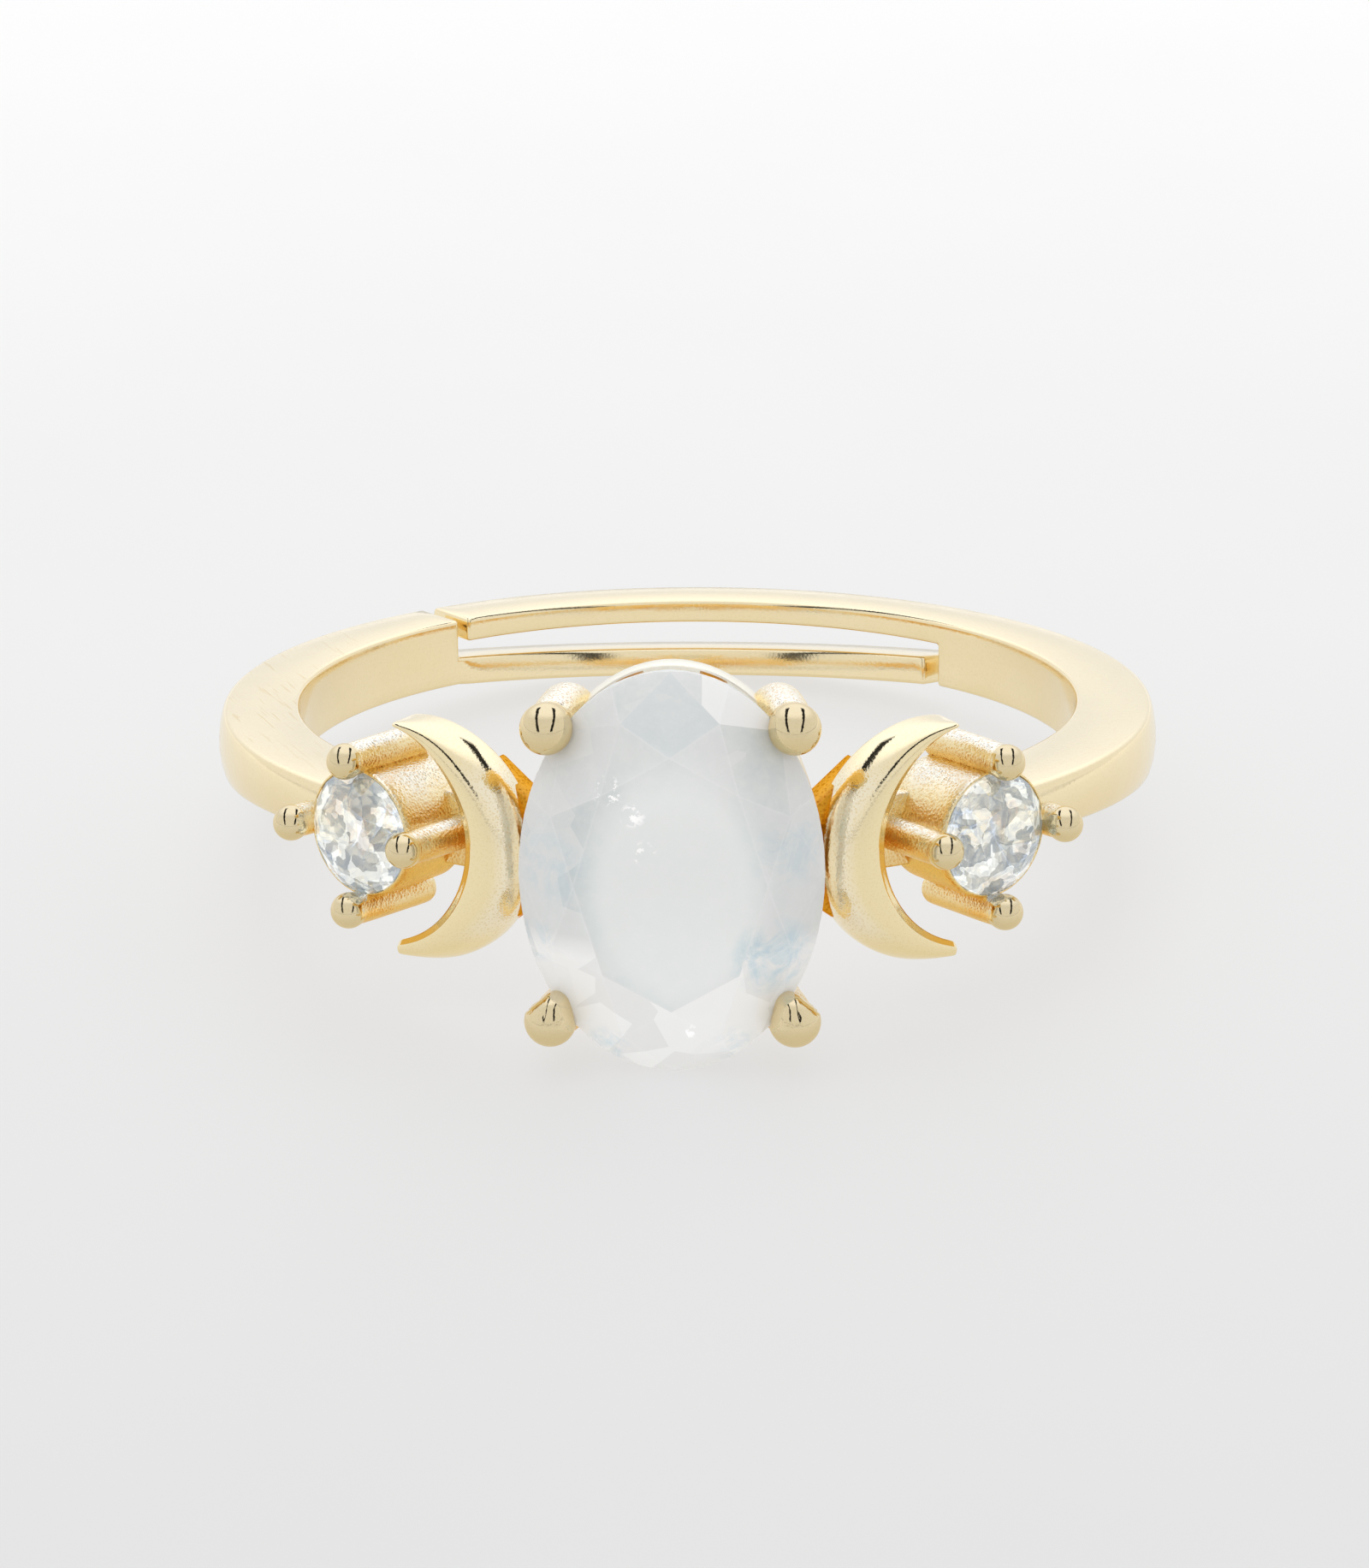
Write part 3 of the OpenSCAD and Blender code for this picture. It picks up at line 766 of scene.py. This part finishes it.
def moonstoneMaterial():
    material, tree, shader = startMaterial("milkyMoonstone")
    place = addNode(tree, "ShaderNodeTexCoord").outputs
    # the stone's own frame in mm: x right, y up the stone, z out of the table
    back = (ringToTable @ headPlace).inverted()
    own = addNode(tree, "ShaderNodeMapping",
                  {"Vector": place["Object"], "Location": back.to_translation(),
                   "Rotation": back.to_euler(), "Scale": back.to_scale()}).outputs["Vector"]
    split = parts(tree, own)
    flat = vectorCalc(tree, own, (1, 1, 0), "MULTIPLY")[0]
    turned = addNode(tree, "ShaderNodeVectorRotate",
                     {"Vector": place["Normal"], "Rotation": back.to_euler()},
                     rotation_type="EULER_XYZ").outputs["Vector"]
    tilt = parts(tree, turned)["Z"]
    veil = remap(tree, noise(tree, own, 0.5, 4.0, 0.6), 0.4, 0.62)
    milk = blend(tree, veil, (0.72, 0.77, 0.78, 1), (0.86, 0.88, 0.87, 1))
    # painted reflections in the facets of the crown and, through them, in those of the pavilion
    crown = remap(tree, tilt, 0.985, 0.965)
    facets = addNode(tree, "ShaderNodeGroup", {"Spread": 2.6, "Low": 0.0, "High": 0.7}, node_tree=facetReflection)
    milk = blend(tree, calc(tree, facets.outputs["Share"], crown), milk, (0.9, 0.91, 0.91, 1))
    through = calc(tree, remap(tree, cells(tree, flat, 1.1, "Color"), 0.45, 0.6, 0.0, 0.7), crown)
    milk = blend(tree, through, milk, (0.92, 0.93, 0.92, 1))
    # pale blue-green light in the middle
    oval = vectorCalc(tree, flat, (0.6, 0.42, 0), "MULTIPLY")[0]
    middle = maskNear(tree, oval, (0.05, -0.05, 0), 0.75, 0.5)
    milk = blend(tree, calc(tree, middle, 0.85), milk, (0.95, 1.0, 0.995, 1))
    # painted light: the facets below the table are white and a little warm
    low = calc(tree, remap(tree, split["Y"], -1.0, -1.5, 0.0, 0.85), crown)
    milk = blend(tree, low, milk, (0.98, 0.97, 0.95, 1))
    milk = blend(tree, calc(tree, low, through), milk, (1.0, 1.0, 0.98, 1))
    # above the table one facet has grey-blue painted shade, and the pair to its right a white painted
    # reflection
    shaded = remap(tree, likeness(tree, turned, (0, 0.5, 0.87)), 0.985, 0.992, 0.0, 0.45)
    milk = blend(tree, shaded, milk, (0.72, 0.79, 0.82, 1))
    lit = remap(tree, likeness(tree, turned, (0.32, 0.57, 0.76)), 0.975, 0.985)
    lit = calc(tree, lit, calc(tree, split["X"], 0.6, "GREATER_THAN"))
    milk = blend(tree, lit, milk, (1, 1, 1, 1))
    # blue sheen in a few torn patches
    ragged = remap(tree, noise(tree, own, 1.3, 5.0, 0.65, 0.6), 0.42, 0.58)
    sheen = maskNear(tree, flat, (1.95, -1.5, 0), 0.45, 0.5)
    for spot in ((-2.6, -1.3, 0), (-1.25, -3.4, 0), (1.2, -3.4, 0)):
        sheen = calc(tree, sheen, maskNear(tree, flat, spot, 0.15, 0.4), "MAXIMUM")
    for spot in ((2.3, 0.6, 0), (-2.3, 0.3, 0)):
        sheen = calc(tree, sheen, calc(tree, maskNear(tree, flat, spot, 0.3, 0.6), 0.5), "MAXIMUM")
    milk = blend(tree, calc(tree, sheen, ragged), milk, (0.64, 0.77, 0.84, 1))
    # fine mist that breaks up every facet a little
    mist = remap(tree, noise(tree, own, 3.5, 6.0, 0.75), 0.45, 0.7, 0.0, 0.3)
    milk = blend(tree, mist, milk, (1.0, 1.0, 0.98, 1))
    # small bright flaws, most of them left of the middle; they are painted white and made to glow
    flawed = maskNear(tree, flat, (-1.15, 1.85, 0), 0.12, 0.25)
    for spot in ((-0.7, 1.4, 0), (-0.5, 0.65, 0), (0.3, -3.0, 0)):
        flawed = calc(tree, flawed, maskNear(tree, flat, spot, 0.08, 0.25), "MAXIMUM")
    glowingFlaw = calc(tree, flawed, remap(tree, noise(tree, own, 5.0, 3.0, 0.7), 0.54, 0.6))
    # painted highlights where the facet edges catch the light
    rounded = addNode(tree, "ShaderNodeBevel", {"Radius": 0.00006}, samples=4).outputs["Normal"]
    sameWay = likeness(tree, rounded, addNode(tree, "ShaderNodeNewGeometry").outputs["Normal"])
    bright = calc(tree, glowingFlaw, remap(tree, sameWay, 0.999, 0.99, 0.0, 0.5), "MAXIMUM")
    tree.links.new(blend(tree, bright, milk, (1, 1, 1, 1)), shader.inputs["Base Color"])
    # painted glow, though the stone is no lamp: the lower facets, the flaws, the white facets and the
    # middle give off light
    glow = calc(tree, low, calc(tree, calc(tree, through, 0.3), 0.25, "ADD"))
    glint = calc(tree, calc(tree, glowingFlaw, glow, "MAXIMUM"), calc(tree, lit, 0.2), "MAXIMUM")
    glint = calc(tree, glint, calc(tree, middle, 0.18), "MAXIMUM")
    tree.links.new(glint, shader.inputs["Emission Color"])
    shader.inputs["Emission Strength"].default_value = 0.3
    # the girdle was left frosted
    tree.links.new(remap(tree, tilt, 0.2, 0.4, 0.5, 0.05), shader.inputs["Roughness"])
    shader.inputs["IOR"].default_value = 1.53
    shader.inputs["Transmission Weight"].default_value = 0.15
    shader.inputs["Subsurface Weight"].default_value = 0.5
    shader.inputs["Subsurface Radius"].default_value = (1.0, 1.0, 1.0)
    shader.inputs["Subsurface Scale"].default_value = 0.0015
    return material


def clearStoneMaterial():
    material, tree, shader = startMaterial("clearBrilliant")
    place = addNode(tree, "ShaderNodeTexCoord").outputs["Object"]
    # painted reflections, a bluish white that differs from facet to facet
    facets = addNode(tree, "ShaderNodeGroup", {"Spread": 3.5, "Low": 0.0, "High": 1.0},
                     node_tree=facetReflection).outputs["Share"]
    tone = blend(tree, facets, (0.8, 0.87, 0.97, 1), (0.96, 0.98, 1, 1))
    # painted reflection of the gold of the cup in some patches
    cupReflection = remap(tree, cells(tree, place, 2100.0, "Color"), 0.56, 0.62, 0.0, 0.6)
    tone = blend(tree, cupReflection, tone, (0.8, 0.6, 0.46, 1))
    # splinters of light and shade that the many small facets underneath send up
    splinters = cells(tree, place, 3900.0, "Color", distance="CHEBYCHEV")
    tone = blend(tree, remap(tree, splinters, 0.42, 0.36, 0.0, 0.75), tone, (0.36, 0.42, 0.5, 1))
    tree.links.new(tone, shader.inputs["Base Color"])
    spark = calc(tree, remap(tree, splinters, 0.55, 0.62), 0.85)
    light = blend(tree, spark, (0.06, 0.1, 0.16, 1), (0.9, 0.96, 1, 1))
    tree.links.new(light, shader.inputs["Emission Color"])
    shader.inputs["Emission Strength"].default_value = 0.35
    tree.links.new(calc(tree, facets, 0.01), shader.inputs["Roughness"])
    shader.inputs["Metallic"].default_value = 0.05
    shader.inputs["IOR"].default_value = 2.4
    shader.inputs["Transmission Weight"].default_value = 0.8
    return material


moonstoneLook = moonstoneMaterial()
clearLook = clearStoneMaterial()
nodes["moonstone"].data.materials.clear()
nodes["moonstone"].data.materials.append(moonstoneLook)
for name in ("side_stone_left", "side_stone_right"):
    nodes[name].data.materials.clear()
    nodes[name].data.materials.append(clearLook)
print("stones ready")

# Floor, light and camera
studio = {
    "floor": 0.6, "floorGlow": 0.67, "front": 0.82, "behind": 0.87, "above": 0.35, "tableLine": 0.68,
    "gap": {"side": 0.92, "slant": (0, 0.21, -0.34), "at": 0.2, "half": 0.085, "dark": 0.98}}


def makeFloor():
    bpy.ops.object.select_all(action="DESELECT")
    bpy.ops.mesh.primitive_plane_add(size=studio["floor"], location=(0, 0, 0))
    floor = namePiece("table_top")
    material, tree, shader = startMaterial("paleTable")
    place = addNode(tree, "ShaderNodeTexCoord").outputs["Object"]
    tint = addNode(tree, "ShaderNodeValToRGB", {"Fac": noise(tree, place, 60.0, 3.0)})
    tint.color_ramp.elements[0].color = (0.15, 0.15, 0.15, 1)
    tint.color_ramp.elements[1].color = (0.18, 0.18, 0.18, 1)
    tree.links.new(tint.outputs["Color"], shader.inputs["Base Color"])
    shader.inputs["Roughness"].default_value = 0.6
    shader.inputs["Specular IOR Level"].default_value = 0.15
    # lit from below as well, as on a light table, so that shadows stay faint; a little brighter at the back
    glow = remap(tree, parts(tree, place)["Y"], -0.05, 0.08, 0.83, 1.16)
    tree.links.new(glow, shader.inputs["Emission Color"])
    shader.inputs["Emission Strength"].default_value = studio["floorGlow"]
    floor.data.materials.append(material)


def makeWorld():
    world = bpy.data.worlds.new("whiteRoom")
    bpy.context.scene.world = world
    world.use_nodes = True
    tree = world.node_tree
    background = tree.nodes["Background"]
    way = addNode(tree, "ShaderNodeTexCoord").outputs["Generated"]
    split = parts(tree, way)
    # dimmer in front, bright behind, brightest high up behind the ring
    behind = remap(tree, split["Y"], -0.5, 0.7, studio["front"], studio["behind"])
    above = remap(tree, likeness(tree, way, (0, 0.5, 0.87)), 0.5, 0.9, 0.0, studio["above"], True)
    # a thin dark line where the table ends, seen in the balls, that fades out behind
    level = calc(tree, split["Z"], 0.017, "COMPARE", 0.018)
    line = remap(tree, split["Y"], 0.2, 0.6, remap(tree, level, 0.0, 1.0, 1.0, studio["tableLine"]), 1.0)
    lined = calc(tree, calc(tree, behind, above, "ADD"), line)
    # a long dark gap in the light at each side, over the ring from front to back: it gives the strokes on
    # the crescents and balls
    gap = studio["gap"]
    apart = calc(tree, calc(tree, split["X"], 0, "ABSOLUTE"), gap["side"])
    arc = calc(tree, apart, likeness(tree, way, gap["slant"]), "ADD")
    within = calc(tree, arc, gap["at"], "COMPARE", gap["half"])
    high = remap(tree, split["Z"], 0.1, 0.2)
    forward = remap(tree, split["Y"], 0.72, 0.62)
    shut = calc(tree, calc(tree, within, high), calc(tree, forward, gap["dark"]))
    background.inputs["Color"].default_value = (1, 1, 1, 1)
    tree.links.new(calc(tree, lined, calc(tree, 1, shut, "SUBTRACT")), background.inputs["Strength"])


def addSoftbox(name, at, size, power):
    bpy.ops.object.light_add(type="AREA", location=at)
    lamp = bpy.context.object
    lamp.name = name
    lamp.data.shape = "RECTANGLE"
    lamp.data.size, lamp.data.size_y = size
    lamp.data.energy = power
    lamp.rotation_euler = (Vector((0, 0, 0.003)) - Vector(at)).to_track_quat("-Z", "Y").to_euler()
    # the metal mirrors only the white room
    lamp.visible_glossy = False


def makeCamera():
    # fitted to the photograph: place in mm, turn in degrees
    view = {"place": (2.9457, -90.7158, 42.1743), "turn": (65.957, 0.6136, 1.6166), "lens": 107.6}
    data = bpy.data.cameras.new("photoCamera")
    data.lens = view["lens"]
    data.sensor_width = 36
    data.clip_start, data.clip_end = 0.005, 10
    camera = bpy.data.objects.new("photoCamera", data)
    bpy.context.collection.objects.link(camera)
    camera.location = Vector(view["place"]) / 1000
    camera.rotation_euler = [math.radians(a) for a in view["turn"]]
    bpy.context.scene.camera = camera


makeFloor()
makeWorld()
addSoftbox("keyLight", (-0.12, -0.1, 0.25), (0.2, 0.2), 0.1)
addSoftbox("backLight", (0.04, 0.16, 0.22), (0.25, 0.15), 0.15)
makeCamera()
bpy.context.scene.view_settings.view_transform = "Standard"
print("studio ready")
